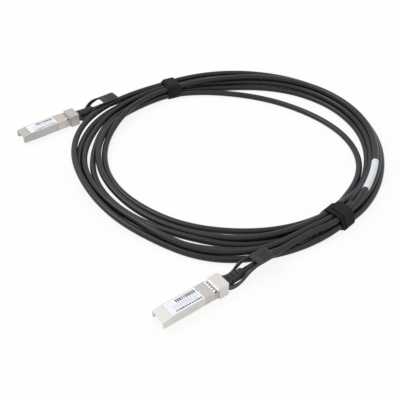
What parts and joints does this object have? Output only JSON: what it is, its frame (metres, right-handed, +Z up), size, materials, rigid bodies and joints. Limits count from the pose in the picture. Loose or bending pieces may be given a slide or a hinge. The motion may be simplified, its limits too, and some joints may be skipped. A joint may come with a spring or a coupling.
{
  "type": "direct attach copper cable",
  "caption": "Coiled black twinaxial cable held by hook-and-loop ties, with a latching metal plug and black pull tab at each end.",
  "frame": {"origin": "centre of the box round the two plugs with their boots and pull tabs, at the floor they lie on; the cable is left out of this box", "axes": "+Z up, +Y away from the camera of the picture, +X to the picture's right"},
  "size_m": [0.3242, 0.3319, 0.0139],
  "materials": {
    "cast_shell": "satin nickel plated zinc casting",
    "stamped_steel": "stamped stainless sheet",
    "tab_plastic": "moulded black plastic, fine texture",
    "spring_wire": "drawn spring wire",
    "boot_rubber": "matte black moulding",
    "ferrule_brass": "crimped brass",
    "card_board": "green solder mask",
    "gold_contact": "gold plated pads",
    "chip_plastic": "moulded epoxy",
    "wire_insulation": "extruded insulation",
    "collar_bronze": "pale plated spring bronze",
    "label_paper": "printed label film",
    "screw_steel": "zinc plated",
    "cable_jacket": "satin extruded jacket",
    "tie_fabric": "woven hook and loop strap"
  },
  "bodies": {
    "root": {"near_upper_shell": "cast_shell", "near_lower_shell": "cast_shell", "near_return_springs": "spring_wire", "near_boot": "boot_rubber", "near_ferrule": "ferrule_brass", "near_paddle_card": "card_board", "near_card_contacts": "gold_contact", "near_card_parts": "chip_plastic", "near_wire_pairs": "wire_insulation", "near_spring_collar": "collar_bronze", "near_label": "label_paper", "near_shell_screws": "screw_steel", "far_upper_shell": "cast_shell", "far_lower_shell": "cast_shell", "far_return_springs": "spring_wire", "far_boot": "boot_rubber", "far_ferrule": "ferrule_brass", "far_paddle_card": "card_board", "far_card_contacts": "gold_contact", "far_card_parts": "chip_plastic", "far_wire_pairs": "wire_insulation", "far_spring_collar": "collar_bronze", "far_label": "label_paper", "far_shell_screws": "screw_steel", "cable_coil": "cable_jacket", "near_cable_tail": "cable_jacket", "far_cable_tail": "cable_jacket", "rear_tie": "tie_fabric", "front_tie": "tie_fabric", "cable_label": "label_paper"},
    "near_release": {"near_slider": "stamped_steel", "near_pull_tab": "tab_plastic"},
    "far_release": {"far_slider": "stamped_steel", "far_pull_tab": "tab_plastic"}
  },
  "joints": [
    {"name": "near_release_slide", "type": "slide", "parent": "root", "child": "near_release", "axis": [0.7975, 0.6033, 0], "range_m": [0, 0.002], "stiffness_N_per_m": 1500, "springref_m": -0.0005, "deforming": ["near_return_springs"]},
    {"name": "far_release_slide", "type": "slide", "parent": "root", "child": "far_release", "axis": [0.7991, 0.6013, 0], "range_m": [0, 0.002], "stiffness_N_per_m": 1500, "springref_m": -0.0005, "deforming": ["far_return_springs"]}
  ]
}
